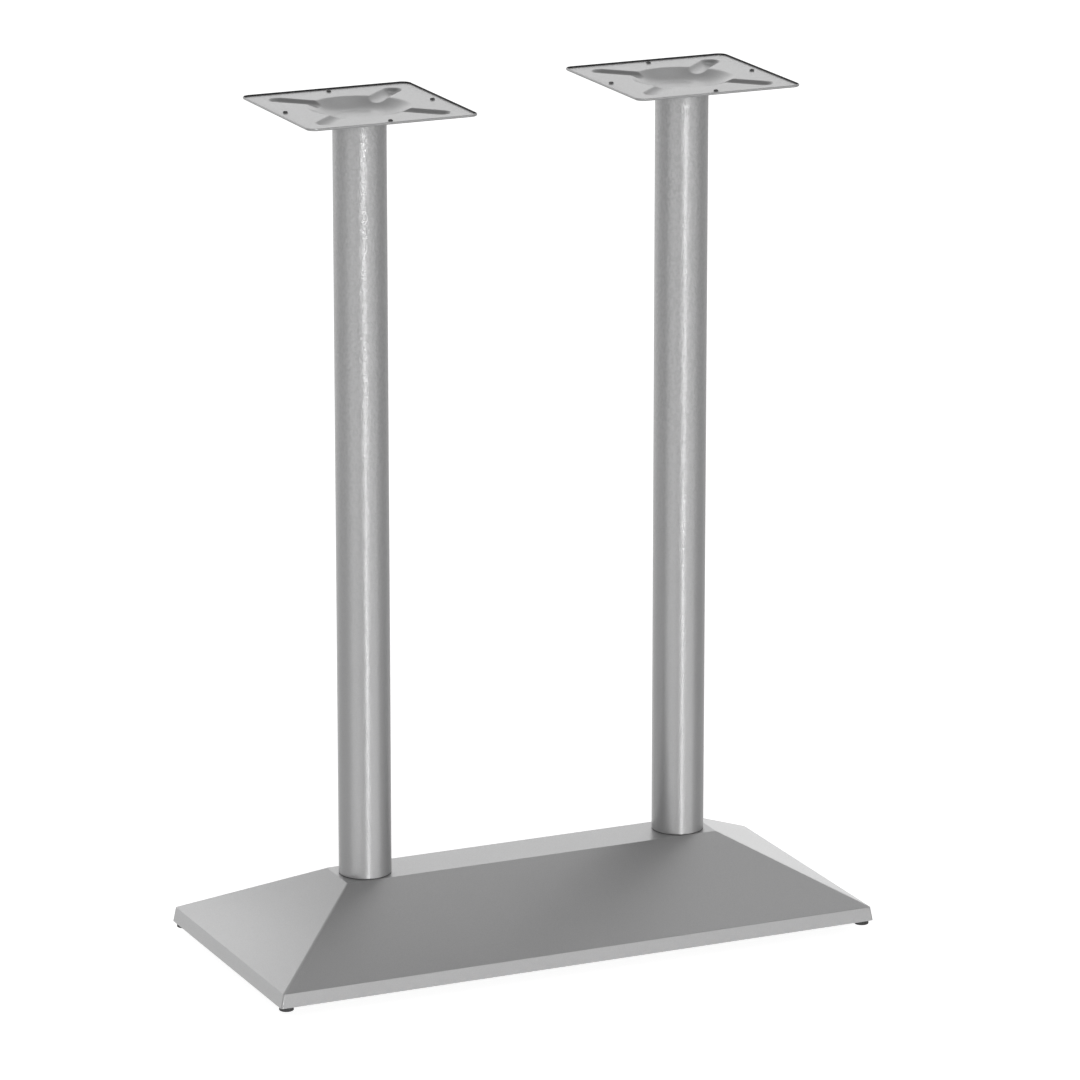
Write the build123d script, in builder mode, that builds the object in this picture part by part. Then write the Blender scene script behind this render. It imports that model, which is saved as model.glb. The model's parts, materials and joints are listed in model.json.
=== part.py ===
from build123d import *
import math
import os

# Twin-column pedestal base for a bar-height table, without its table top.
# Frame: origin on the floor under the middle of the base, +X along the long
# side (towards the right column), +Y towards the back, +Z up. Millimetres.

os.makedirs("parts", exist_ok=True)

# --- driving dimensions ----------------------------------------------------
HEIGHT = 1100.0            # rim of the top plates above the lower edge of the cover
FLOOR_GAP = 6.0            # lower edge of the cover above the floor

BASE_LENGTH = 831.0        # cover at its lower edge
BASE_WIDTH = 375.2
BAND_HEIGHT = 18.5         # side band below the slopes
BAND_LENGTH = 823.6        # cover at the top of the side band
BAND_WIDTH = 373.8
RIDGE_HEIGHT = 97.7        # flat top strip above the lower edge of the cover
RIDGE_LENGTH = 522.5
RIDGE_WIDTH = 70.0
COVER_SHEET = 2.0
COVER_CORNER = 2.5         # upright corners of the band
COVER_BEND = 1.0           # hips and creases, outside radius

COLUMN_X = 222.0           # each column from the middle
COLUMN_RADIUS = 34.0
COLUMN_WALL = 2.0
TUBE_DEBURR = 0.4
GASKET = 0.8               # soft ring between column and cover
GASKET_INSET = 0.4

PLATE_SIDE = 228.0
PLATE_CORNER = 12.0
PLATE_SHEET = 1.5
RIM_WIDTH = 1.5
RIM_DEPTH = 1.8            # flat of the top plate below its rim
DISH_TOP_RADIUS = 70.0
DISH_FLOOR_RADIUS = 38.0
DISH_DEPTH = 11.0          # below the flat
TROUGH_WIDTH = 24.5
TROUGH_DEPTH = 5.0
TROUGH_END = 77.0 * math.sqrt(2)   # centre of the outer end, along the diagonal
TROUGH_START = 52.0                # centre of the inner end, inside the dish
TROUGH_TAPER = 38.0                # slope of the trough's sides from upright
DISH_FLOOR_ROUND = 6.0
TROUGH_FLOOR_ROUND = 2.5
RIM_BEND = 1.9             # outside radius of the upturned rim
RIM_ROUND = 0.5
WELD_LEG = 3.0
WELD_BULGE = 0.6           # 0.5 is a flat bead
SCREW_CIRCLE = 198.0
SCREW_HOLE_RADIUS = 2.2
SCREW_COLLAR_RADIUS = 2.9

BOLT_RADIUS = 6.0          # M12
BOLT_LENGTH = 35.0
BOLT_HEAD_FLATS = 18.0
BOLT_HEAD_HEIGHT = 7.5
HEAD_CHAMFER = 1.0
BOLT_TIP_CHAMFER = 1.2
WASHER_OUTER = 12.0
WASHER_PLAY = 0.5
WASHER_CHAMFER = 0.4
WASHER_THICK = 2.5
LOCK_WASHER_OUTER = 10.5
LOCK_WASHER_THICK = 2.6
LOCK_WASHER_SPLIT = 1.6
BOLT_CLEARANCE = 0.6
DISC_THICK = 10.0
PIN_RADIUS = 3.0
PIN_OFFSET = 22.0          # from the bolt, towards the middle of the base
PIN_LENGTH = 19.0
PIN_IN_CROWN = 8.0         # driven into the pillar, the rest stands up into the disc
PIN_BORE = 1.8
PIN_SLOT = 1.0

BALLAST_LENGTH = 820.6
BALLAST_WIDTH = 368.0
BALLAST_CORNER = 9.0
BALLAST_THICK = 8.0
BALLAST_RISE = 3.0         # underside of the ballast above the lower edge of the cover
PILLAR_FOOT_RADIUS = 44.0
PILLAR_TOP_RADIUS = 29.0
PILLAR_WALL = 9.0
PILLAR_CROWN = 12.0
RIB_THICK = 8.0
RIB_HEIGHT = 52.0
RIB_TOE = 4.0              # height of a rib where it runs out
GUSSET_REACH = 68.0

BRACKET_X = 330.0
BRACKET_SETBACK = 0.8      # upright leg inside the cover's long side
NOTCH_PLAY = 0.6           # around the bracket's leg in the ballast's edge
BRACKET_WIDTH = 30.0
BRACKET_SHEET = 2.0
BRACKET_LEG = 11.0
BRACKET_REACH = 25.0
BRACKET_HOLE_IN = 13.6     # screw from the outer face of the bracket
M6_RADIUS = 3.0
M6_NUT_FLATS = 10.0
M6_NUT_HEIGHT = 5.0
COVER_SCREW_LENGTH = 15.5
COVER_SCREW_HEAD = 6.0     # countersunk head radius
SOCKET_FLATS = 4.0
SOCKET_DEPTH = 2.4

FOOT_INSET = 11.5          # foot centre from both faces of the corner
PAD_RADIUS = 9.4
PAD_HEIGHT = 5.2
STUD_RADIUS = 3.0          # M6
STUD_TOP = 18.4            # above the lower edge of the cover
STUD_FLATS = 10.0
STUD_COLLAR = 3.2
STUD_NECK = 2.4
STUD_BUTTON = 3.4          # round end that the pad is snapped over
STUD_CHAMFER = 0.8
BUTTON_HEIGHT = 1.6
PAD_SOLE = 1.4             # plastic under the button
PAD_ROUND = 0.8
RUN = 0.05                 # radial clearance of a running fit
GAP = 0.3                  # between faces that pass each other

# --- heights worked out from them ------------------------------------------
EDGE_Z = FLOOR_GAP
BAND_Z = EDGE_Z + BAND_HEIGHT
RIDGE_Z = EDGE_Z + RIDGE_HEIGHT
COLUMN_Z = RIDGE_Z + GASKET
RIM_Z = EDGE_Z + HEIGHT
FLAT_Z = RIM_Z - RIM_DEPTH
DISH_Z = FLAT_Z - DISH_DEPTH
COLUMN_TOP_Z = DISH_Z - PLATE_SHEET
BALLAST_Z = EDGE_Z + BALLAST_RISE
BALLAST_TOP_Z = BALLAST_Z + BALLAST_THICK
CROWN_TOP_Z = RIDGE_Z - COVER_SHEET
CROWN_Z = CROWN_TOP_Z - PILLAR_CROWN

QUARTERS = [math.radians(a) for a in (0, 90, 180, 270)]
SIDES = {"left": -1, "right": 1}
CORNERS = {
    "front_left": (-1, -1),
    "front_right": (1, -1),
    "back_left": (-1, 1),
    "back_right": (1, 1),
}


def save(part, name):
    part.label = name
    export_step(part, f"parts/{name}.step")


def level(z, x=0.0, y=0.0):
    """A horizontal plane at height z with its origin at x, y."""
    return Plane(origin=(x, y, z))


def upright(x, y=0.0):
    """An upright plane through x, y that faces the front; its own axes run along X and Z."""
    return Plane(origin=(x, y, 0), x_dir=(1, 0, 0), z_dir=(0, -1, 0))


# --- base cover: hollow hipped sheet-steel shell with a side band ------------
def hip_sections(sheet):
    """Length, width and height of the shell's three sections, set in by the sheet."""
    roof_rise = RIDGE_HEIGHT - BAND_HEIGHT
    end_pitch = math.atan2(roof_rise, (BAND_LENGTH - RIDGE_LENGTH) / 2)
    side_pitch = math.atan2(roof_rise, (BAND_WIDTH - RIDGE_WIDTH) / 2)
    crease_drop = sheet * (1 / math.cos(end_pitch) - math.tan(end_pitch))
    ridge_in_x = 2 * sheet * math.tan(end_pitch / 2)
    ridge_in_y = 2 * sheet * math.tan(side_pitch / 2)
    return [
        (BASE_LENGTH - 2 * sheet, BASE_WIDTH - 2 * sheet, EDGE_Z),
        (BAND_LENGTH - 2 * sheet, BAND_WIDTH - 2 * sheet, BAND_Z - crease_drop),
        (RIDGE_LENGTH - ridge_in_x, RIDGE_WIDTH - ridge_in_y, RIDGE_Z - sheet),
    ]


def hip_solid(sheet, corner):
    """The closed hipped body, made of a band and a roof, with rounded corners and hips."""
    sections = hip_sections(sheet)
    with BuildPart() as body:
        for lower, upper in zip(sections, sections[1:]):
            for length, width, z in (lower, upper):
                with BuildSketch(level(z)):
                    RectangleRounded(length, width, corner)
            loft(ruled=True)
    return body.part


with BuildPart() as base_cover:
    add(hip_solid(0.0, COVER_CORNER))
    creases = base_cover.edges().filter_by(
        lambda e: e.bounding_box().size.Z < 0.1 and e.center().Z > EDGE_Z + 1
    )
    fillet(creases, COVER_BEND)
    add(hip_solid(COVER_SHEET, COVER_CORNER / 2), mode=Mode.SUBTRACT)
    for side in SIDES.values():
        with BuildSketch(level(RIDGE_Z - 2 * COVER_SHEET, side * COLUMN_X)):
            Circle(BOLT_RADIUS + BOLT_CLEARANCE)
            with Locations((-side * PIN_OFFSET, 0)):
                Circle(PIN_RADIUS + BOLT_CLEARANCE)
        extrude(amount=3 * COVER_SHEET, mode=Mode.SUBTRACT)
save(base_cover.part, "base_cover")


# --- ballast: cast-iron slab with two hollow pillars, a spine rib and gussets ----
def frustum(plane, lower_radius, upper_radius, height):
    """A round frustum standing on a plane."""
    with BuildPart() as cone:
        with BuildSketch(plane):
            Circle(lower_radius)
        with BuildSketch(plane.offset(height)):
            Circle(upper_radius)
        loft(ruled=True)
    return cone.part


PILLAR_HEIGHT = CROWN_TOP_Z - BALLAST_Z
PILLAR_HOLLOW = CROWN_Z - BALLAST_Z
PILLAR_SLOPE = (PILLAR_FOOT_RADIUS - PILLAR_TOP_RADIUS) / PILLAR_HEIGHT
HOLLOW_TOP_RADIUS = PILLAR_TOP_RADIUS + PILLAR_SLOPE * PILLAR_CROWN - PILLAR_WALL
BRACKET_OUTER_Y = BASE_WIDTH / 2 - COVER_SHEET - BRACKET_SETBACK
BRACKET_SCREW_Y = BRACKET_OUTER_Y - BRACKET_HOLE_IN
BRACKET_PLACES = [(x, y) for x in (-BRACKET_X, BRACKET_X) for y in (-1, 1)]
NOTCH_DEPTH = BALLAST_WIDTH / 2 - BRACKET_OUTER_Y + BRACKET_SHEET + NOTCH_PLAY
COUNTERSINK_DEPTH = COVER_SCREW_HEAD - M6_RADIUS
FOOT_X = BASE_LENGTH / 2 - FOOT_INSET
FOOT_Y = BASE_WIDTH / 2 - FOOT_INSET
SPINE_HALF = COLUMN_X + GUSSET_REACH
CROSS_HALF = PILLAR_FOOT_RADIUS + GUSSET_REACH

with BuildPart() as ballast:
    with BuildSketch(level(BALLAST_Z)):
        RectangleRounded(BALLAST_LENGTH, BALLAST_WIDTH, BALLAST_CORNER)
    extrude(amount=BALLAST_THICK)
    # spine rib between the pillars, running out as a gusset beyond each
    with BuildSketch(Plane.XZ.offset(-RIB_THICK / 2)):
        with BuildLine():
            Polyline(
                (-SPINE_HALF, BALLAST_Z),
                (SPINE_HALF, BALLAST_Z),
                (SPINE_HALF, BALLAST_TOP_Z + RIB_TOE),
                (COLUMN_X, BALLAST_TOP_Z + RIB_HEIGHT),
                (-COLUMN_X, BALLAST_TOP_Z + RIB_HEIGHT),
                (-SPINE_HALF, BALLAST_TOP_Z + RIB_TOE),
                close=True,
            )
        make_face()
    extrude(amount=RIB_THICK)
    # a cross gusset through each pillar, and the pillar itself
    for side in SIDES.values():
        with BuildSketch(Plane.YZ.offset(side * COLUMN_X - RIB_THICK / 2)):
            with BuildLine():
                Polyline(
                    (-CROSS_HALF, BALLAST_Z),
                    (CROSS_HALF, BALLAST_Z),
                    (CROSS_HALF, BALLAST_TOP_Z + RIB_TOE),
                    (PILLAR_TOP_RADIUS, BALLAST_TOP_Z + RIB_HEIGHT),
                    (-PILLAR_TOP_RADIUS, BALLAST_TOP_Z + RIB_HEIGHT),
                    (-CROSS_HALF, BALLAST_TOP_Z + RIB_TOE),
                    close=True,
                )
            make_face()
        extrude(amount=RIB_THICK)
        foot = level(BALLAST_Z, side * COLUMN_X)
        add(frustum(foot, PILLAR_FOOT_RADIUS, PILLAR_TOP_RADIUS, PILLAR_HEIGHT))
    for side in SIDES.values():
        foot = level(BALLAST_Z, side * COLUMN_X)
        hollow = frustum(foot, PILLAR_FOOT_RADIUS - PILLAR_WALL, HOLLOW_TOP_RADIUS, PILLAR_HOLLOW)
        add(hollow, mode=Mode.SUBTRACT)
        with BuildSketch(foot):
            Circle(BOLT_RADIUS + BOLT_CLEARANCE)
        extrude(amount=PILLAR_HEIGHT, mode=Mode.SUBTRACT)
        with BuildSketch(level(CROWN_TOP_Z, side * (COLUMN_X - PIN_OFFSET))):
            Circle(PIN_RADIUS)
        extrude(amount=-PIN_IN_CROWN, mode=Mode.SUBTRACT)
    # threads of the feet
    with BuildSketch(level(BALLAST_Z)):
        with GridLocations(2 * FOOT_X, 2 * FOOT_Y, 2, 2):
            Circle(STUD_RADIUS + RUN)
    extrude(amount=BALLAST_THICK, mode=Mode.SUBTRACT)
    # edge notches and countersunk holes for the cover brackets
    with BuildSketch(level(BALLAST_Z)):
        with GridLocations(2 * BRACKET_X, BALLAST_WIDTH, 2, 2):
            Rectangle(BRACKET_WIDTH + 2 * NOTCH_PLAY, 2 * NOTCH_DEPTH)
        with GridLocations(2 * BRACKET_X, 2 * BRACKET_SCREW_Y, 2, 2):
            Circle(M6_RADIUS + GAP)
    extrude(amount=BALLAST_THICK, mode=Mode.SUBTRACT)
    for x, sy in BRACKET_PLACES:
        mouth = level(BALLAST_Z, x, sy * BRACKET_SCREW_Y)
        sink = frustum(mouth, COVER_SCREW_HEAD + GAP, M6_RADIUS + GAP, COUNTERSINK_DEPTH)
        add(sink, mode=Mode.SUBTRACT)
save(ballast.part, "ballast_casting")


# --- columns: tube, threaded disc in its foot, gasket under it -----------------
def make_column(side, x):
    with BuildPart() as tube:
        with BuildSketch(level(COLUMN_Z, x)):
            Circle(COLUMN_RADIUS)
            Circle(COLUMN_RADIUS - COLUMN_WALL, mode=Mode.SUBTRACT)
        extrude(amount=COLUMN_TOP_Z - COLUMN_Z)
        foot_rim = tube.edges().group_by(Axis.Z)[0].sort_by(SortBy.LENGTH)[-1]
        chamfer(foot_rim, TUBE_DEBURR)
    save(tube.part, f"column_tube_{side}")

    inward = -math.copysign(PIN_OFFSET, x)
    with BuildPart() as disc:
        with BuildSketch(level(COLUMN_Z, x)):
            Circle(COLUMN_RADIUS - COLUMN_WALL - RUN)
            Circle(BOLT_RADIUS + RUN, mode=Mode.SUBTRACT)
            with Locations((inward, 0)):
                Circle(PIN_RADIUS + 0.1, mode=Mode.SUBTRACT)
        extrude(amount=DISC_THICK)
        chamfer(disc.edges().group_by(Axis.Z)[-1].sort_by(SortBy.LENGTH)[-1], TUBE_DEBURR)
    save(disc.part, f"column_disc_{side}")

    with BuildPart() as gasket:
        with BuildSketch(level(RIDGE_Z, x)):
            Circle(COLUMN_RADIUS - GASKET_INSET)
            Circle(BOLT_RADIUS + BOLT_CLEARANCE, mode=Mode.SUBTRACT)
            with Locations((inward, 0)):
                Circle(PIN_RADIUS + BOLT_CLEARANCE, mode=Mode.SUBTRACT)
        extrude(amount=GASKET)
    save(gasket.part, f"column_gasket_{side}")


for side, sign in SIDES.items():
    make_column(side, sign * COLUMN_X)


# --- top plates: stamped sheet with rim, dish, troughs and screw collars -------
def dish_solid(x, extra):
    """The round dish as a turned body; extra is the sheet added under and around it."""
    slope = math.atan2(DISH_DEPTH, DISH_TOP_RADIUS - DISH_FLOOR_RADIUS)
    floor_radius = DISH_FLOOR_RADIUS - extra * math.tan(slope / 2) + extra * math.sin(slope)
    top_z = FLAT_Z + (0.0 if extra else 1.0)
    wall_run = (top_z - DISH_Z + extra) / math.tan(slope)
    with BuildPart() as dish:
        with BuildSketch(upright(x)):
            with BuildLine():
                floor = Line((0, DISH_Z - extra), (floor_radius, DISH_Z - extra))
                wall = Line(floor @ 1, (floor_radius + wall_run, top_z))
                Line(wall @ 1, (0, top_z))
                Line((0, top_z), floor @ 0)
            make_face()
            floor_corner = [
                v for v in vertices() if abs(v.Y - (DISH_Z - extra)) < 0.01 and v.X > 1
            ]
            fillet(floor_corner, DISH_FLOOR_ROUND)
        revolve(axis=Axis((x, 0, 0), (0, 0, 1)))
    return dish.part


def trough_solid(x, angle, extra):
    """One diagonal trough with sloping sides and round ends."""
    mid = (TROUGH_START + TROUGH_END) / 2
    length = TROUGH_END - TROUGH_START
    top_z = FLAT_Z + (0.0 if extra else 0.5)
    depth = top_z - (FLAT_Z - TROUGH_DEPTH - extra)
    spread = math.tan(math.radians(TROUGH_TAPER))
    half_width = TROUGH_WIDTH / 2 + (top_z - FLAT_Z) * spread + extra / math.cos(math.radians(TROUGH_TAPER))
    floor_half = half_width - depth * spread
    plane = Plane(
        origin=(x + mid * math.cos(angle), mid * math.sin(angle), top_z - depth),
        x_dir=(math.cos(angle), math.sin(angle), 0),
        z_dir=(0, 0, 1),
    )
    with BuildPart() as trough:
        with BuildSketch(plane):
            SlotCenterToCenter(length, 2 * floor_half)
        with BuildSketch(plane.offset(depth)):
            SlotCenterToCenter(length, 2 * half_width)
        loft(ruled=True)
        fillet(trough.faces().sort_by(Axis.Z)[0].edges(), TROUGH_FLOOR_ROUND + extra)
    return trough.part


def make_top_plate(side, x):
    screw_places = [(SCREW_CIRCLE / 2 * math.cos(a), SCREW_CIRCLE / 2 * math.sin(a)) for a in QUARTERS]
    diagonals = [a + math.pi / 4 for a in QUARTERS]
    with BuildPart() as plate:
        with BuildSketch(level(FLAT_Z - PLATE_SHEET, x)):
            RectangleRounded(PLATE_SIDE, PLATE_SIDE, PLATE_CORNER)
        extrude(amount=PLATE_SHEET + RIM_DEPTH)
        fillet(plate.edges().group_by(Axis.Z)[0], RIM_BEND)
        with BuildSketch(level(RIM_Z, x)):
            RectangleRounded(PLATE_SIDE - 2 * RIM_WIDTH, PLATE_SIDE - 2 * RIM_WIDTH, PLATE_CORNER - RIM_WIDTH)
        extrude(amount=-RIM_DEPTH, mode=Mode.SUBTRACT)
        fillet(plate.edges().group_by(Axis.Z)[-1], RIM_ROUND)
        add(dish_solid(x, PLATE_SHEET))
        for angle in diagonals:
            add(trough_solid(x, angle, PLATE_SHEET))
        add(dish_solid(x, 0.0), mode=Mode.SUBTRACT)
        for angle in diagonals:
            add(trough_solid(x, angle, 0.0), mode=Mode.SUBTRACT)
        with BuildSketch(level(FLAT_Z - PLATE_SHEET / 2, x)):
            with Locations(*screw_places):
                Circle(SCREW_COLLAR_RADIUS)
        extrude(amount=PLATE_SHEET / 2 + RIM_DEPTH)
        with BuildSketch(level(FLAT_Z - 2 * PLATE_SHEET, x)):
            with Locations(*screw_places):
                Circle(SCREW_HOLE_RADIUS)
        extrude(amount=2 * PLATE_SHEET + RIM_DEPTH, mode=Mode.SUBTRACT)
    save(plate.part, f"top_plate_{side}")


for side, sign in SIDES.items():
    make_top_plate(side, sign * COLUMN_X)


# --- weld beads between each tube and its plate -------------------------------
with BuildPart() as plate_welds:
    for side in SIDES.values():
        with BuildSketch(upright(side * COLUMN_X)):
            with BuildLine():
                toe = Line((COLUMN_RADIUS, COLUMN_TOP_Z - WELD_LEG), (COLUMN_RADIUS, COLUMN_TOP_Z))
                top = Line(toe @ 1, (COLUMN_RADIUS + WELD_LEG, COLUMN_TOP_Z))
                ThreePointArc(
                    top @ 1,
                    (COLUMN_RADIUS + WELD_BULGE * WELD_LEG, COLUMN_TOP_Z - WELD_BULGE * WELD_LEG),
                    toe @ 0,
                )
            make_face()
        revolve(axis=Axis((side * COLUMN_X, 0, 0), (0, 0, 1)))
save(plate_welds.part, "plate_welds")


# --- column bolts with their washers, and the locating pins -------------------
WASHER_Z = CROWN_Z - WASHER_THICK
LOCK_WASHER_Z = WASHER_Z - LOCK_WASHER_THICK
HEAD_Z = LOCK_WASHER_Z - BOLT_HEAD_HEIGHT

with BuildPart() as column_bolts:
    for side in SIDES.values():
        with BuildSketch(level(HEAD_Z, side * COLUMN_X)):
            RegularPolygon(BOLT_HEAD_FLATS / 2, 6, major_radius=False)
        extrude(amount=BOLT_HEAD_HEIGHT)
    chamfer(column_bolts.edges().group_by(Axis.Z)[0], HEAD_CHAMFER)
    for side in SIDES.values():
        with BuildSketch(level(HEAD_Z + BOLT_HEAD_HEIGHT, side * COLUMN_X)):
            Circle(BOLT_RADIUS)
        extrude(amount=BOLT_LENGTH)
    chamfer(column_bolts.edges().group_by(Axis.Z)[-1], BOLT_TIP_CHAMFER)
save(column_bolts.part, "column_bolts")

with BuildPart() as column_washers:
    for side in SIDES.values():
        with BuildSketch(level(WASHER_Z, side * COLUMN_X)):
            Circle(WASHER_OUTER)
            Circle(BOLT_RADIUS + WASHER_PLAY, mode=Mode.SUBTRACT)
        extrude(amount=WASHER_THICK)
    chamfer(column_washers.edges().filter_by(GeomType.CIRCLE).group_by(SortBy.LENGTH)[-1], WASHER_CHAMFER)
save(column_washers.part, "column_washers")

with BuildPart() as column_lock_washers:
    for side in SIDES.values():
        with BuildSketch(level(LOCK_WASHER_Z, side * COLUMN_X)):
            Circle(LOCK_WASHER_OUTER)
            Circle(BOLT_RADIUS + WASHER_PLAY, mode=Mode.SUBTRACT)
            with Locations((0, -LOCK_WASHER_OUTER + 2)):
                Rectangle(LOCK_WASHER_SPLIT, LOCK_WASHER_OUTER, mode=Mode.SUBTRACT)
        extrude(amount=LOCK_WASHER_THICK)
save(column_lock_washers.part, "column_lock_washers")

with BuildPart() as locating_pins:
    for side in SIDES.values():
        with BuildSketch(level(CROWN_TOP_Z - PIN_IN_CROWN, side * (COLUMN_X - PIN_OFFSET))):
            Circle(PIN_RADIUS)
            Circle(PIN_BORE, mode=Mode.SUBTRACT)
            with Locations((0, -PIN_RADIUS)):
                Rectangle(PIN_SLOT, 2 * (PIN_RADIUS - PIN_BORE) + 1, mode=Mode.SUBTRACT)
        extrude(amount=PIN_LENGTH)
save(locating_pins.part, "locating_pins")


# --- cover brackets with weld nuts, and the screws up into them ----------------
BRACKET_TOP_Z = BALLAST_TOP_Z + BRACKET_SHEET

with BuildPart() as cover_brackets:
    for x, sy in BRACKET_PLACES:
        with BuildSketch(Plane(origin=(x - BRACKET_WIDTH / 2, 0, 0), x_dir=(0, 1, 0), z_dir=(1, 0, 0))):
            with BuildLine():
                y_out = sy * BRACKET_OUTER_Y
                y_in = sy * (BRACKET_OUTER_Y - BRACKET_SHEET)
                y_end = sy * (BRACKET_OUTER_Y - BRACKET_REACH)
                Polyline(
                    (y_out, BRACKET_TOP_Z - BRACKET_LEG),
                    (y_out, BRACKET_TOP_Z),
                    (y_end, BRACKET_TOP_Z),
                    (y_end, BALLAST_TOP_Z),
                    (y_in, BALLAST_TOP_Z),
                    (y_in, BRACKET_TOP_Z - BRACKET_LEG),
                    close=True,
                )
            make_face()
        extrude(amount=BRACKET_WIDTH)
    with BuildSketch(level(BALLAST_TOP_Z)):
        with GridLocations(2 * BRACKET_X, 2 * BRACKET_SCREW_Y, 2, 2):
            Circle(M6_RADIUS + RUN)
    extrude(amount=BRACKET_SHEET, mode=Mode.SUBTRACT)
save(cover_brackets.part, "cover_brackets")

with BuildPart() as bracket_nuts:
    with BuildSketch(level(BRACKET_TOP_Z)):
        with GridLocations(2 * BRACKET_X, 2 * BRACKET_SCREW_Y, 2, 2):
            RegularPolygon(M6_NUT_FLATS / 2, 6, major_radius=False)
            Circle(M6_RADIUS + RUN, mode=Mode.SUBTRACT)
    extrude(amount=M6_NUT_HEIGHT)
save(bracket_nuts.part, "bracket_nuts")

with BuildPart() as cover_screws:
    for x, sy in BRACKET_PLACES:
        with BuildSketch(upright(x, sy * BRACKET_SCREW_Y)):
            with BuildLine():
                Polyline(
                    (0, BALLAST_Z),
                    (COVER_SCREW_HEAD, BALLAST_Z),
                    (COVER_SCREW_HEAD, BALLAST_Z + GAP),
                    (M6_RADIUS, BALLAST_Z + GAP + COUNTERSINK_DEPTH),
                    (M6_RADIUS, BALLAST_Z + COVER_SCREW_LENGTH),
                    (0, BALLAST_Z + COVER_SCREW_LENGTH),
                    close=True,
                )
            make_face()
        revolve(axis=Axis((x, sy * BRACKET_SCREW_Y, 0), (0, 0, 1)))
        with BuildSketch(level(BALLAST_Z, x, sy * BRACKET_SCREW_Y)):
            RegularPolygon(SOCKET_FLATS / 2, 6, major_radius=False)
        extrude(amount=SOCKET_DEPTH, mode=Mode.SUBTRACT)
save(cover_screws.part, "cover_screws")


# --- levelling feet: a pad snapped over the round end of a threaded stud -------
COLLAR_Z = PAD_HEIGHT + GAP
BUTTON_Z = PAD_SOLE
STUD_TOP_Z = EDGE_Z + STUD_TOP


def make_foot(corner, x, y):
    centre = upright(x, y)
    axis = Axis((x, y, 0), (0, 0, 1))
    with BuildPart() as pad:
        with BuildSketch(centre):
            with BuildLine():
                Polyline(
                    (0, 0),
                    (PAD_RADIUS - PAD_ROUND, 0),
                    (PAD_RADIUS, PAD_ROUND),
                    (PAD_RADIUS, PAD_HEIGHT - PAD_ROUND / 2),
                    (PAD_RADIUS - PAD_ROUND / 2, PAD_HEIGHT),
                    (STUD_NECK + RUN, PAD_HEIGHT),
                    (STUD_NECK + RUN, BUTTON_Z + BUTTON_HEIGHT + RUN),
                    (STUD_BUTTON + RUN, BUTTON_Z + BUTTON_HEIGHT + RUN),
                    (STUD_BUTTON + RUN, BUTTON_Z - RUN),
                    (0, BUTTON_Z - RUN),
                    close=True,
                )
            make_face()
        revolve(axis=axis)
    save(pad.part, f"foot_pad_{corner}")

    with BuildPart() as stud:
        with BuildSketch(centre):
            with BuildLine():
                Polyline(
                    (0, BUTTON_Z),
                    (STUD_BUTTON, BUTTON_Z),
                    (STUD_BUTTON, BUTTON_Z + BUTTON_HEIGHT),
                    (STUD_NECK, BUTTON_Z + BUTTON_HEIGHT),
                    (STUD_NECK, COLLAR_Z),
                    (STUD_RADIUS, COLLAR_Z),
                    (STUD_RADIUS, STUD_TOP_Z - STUD_CHAMFER),
                    (STUD_RADIUS - STUD_CHAMFER, STUD_TOP_Z),
                    (0, STUD_TOP_Z),
                    close=True,
                )
            make_face()
        revolve(axis=axis)
        with BuildSketch(level(COLLAR_Z, x, y)):
            RegularPolygon(STUD_FLATS / 2, 6, major_radius=False)
        extrude(amount=STUD_COLLAR)
    save(stud.part, f"foot_stud_{corner}")


for corner, (sx, sy) in CORNERS.items():
    make_foot(corner, sx * FOOT_X, sy * FOOT_Y)
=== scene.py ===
import json
import math

import bmesh
import bpy
import numpy as np
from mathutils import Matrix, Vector


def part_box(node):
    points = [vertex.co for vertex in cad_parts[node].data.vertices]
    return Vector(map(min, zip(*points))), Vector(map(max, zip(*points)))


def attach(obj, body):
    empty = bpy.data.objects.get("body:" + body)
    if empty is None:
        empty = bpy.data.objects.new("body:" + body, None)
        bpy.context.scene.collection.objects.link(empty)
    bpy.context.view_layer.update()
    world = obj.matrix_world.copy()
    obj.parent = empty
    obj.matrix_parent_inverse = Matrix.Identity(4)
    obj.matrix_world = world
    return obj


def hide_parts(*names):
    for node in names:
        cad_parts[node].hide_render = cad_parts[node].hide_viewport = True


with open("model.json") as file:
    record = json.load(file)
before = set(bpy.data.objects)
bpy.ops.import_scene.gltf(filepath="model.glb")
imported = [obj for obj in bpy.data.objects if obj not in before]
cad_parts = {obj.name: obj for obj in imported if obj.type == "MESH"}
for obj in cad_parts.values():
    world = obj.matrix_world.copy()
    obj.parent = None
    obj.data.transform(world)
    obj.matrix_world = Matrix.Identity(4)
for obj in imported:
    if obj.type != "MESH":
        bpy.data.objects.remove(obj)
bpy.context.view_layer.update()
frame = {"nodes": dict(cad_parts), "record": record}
nodes = frame["nodes"]
MM = 0.001
SIDES = ("left", "right")
CORNERS = ("front_left", "front_right", "back_left", "back_right")


# --- node helpers -------------------------------------------------------------
FLAT_COSINE, EDGE_COSINE = 0.997, 0.93     # between plain and rounded normal: no edge, full edge


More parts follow.
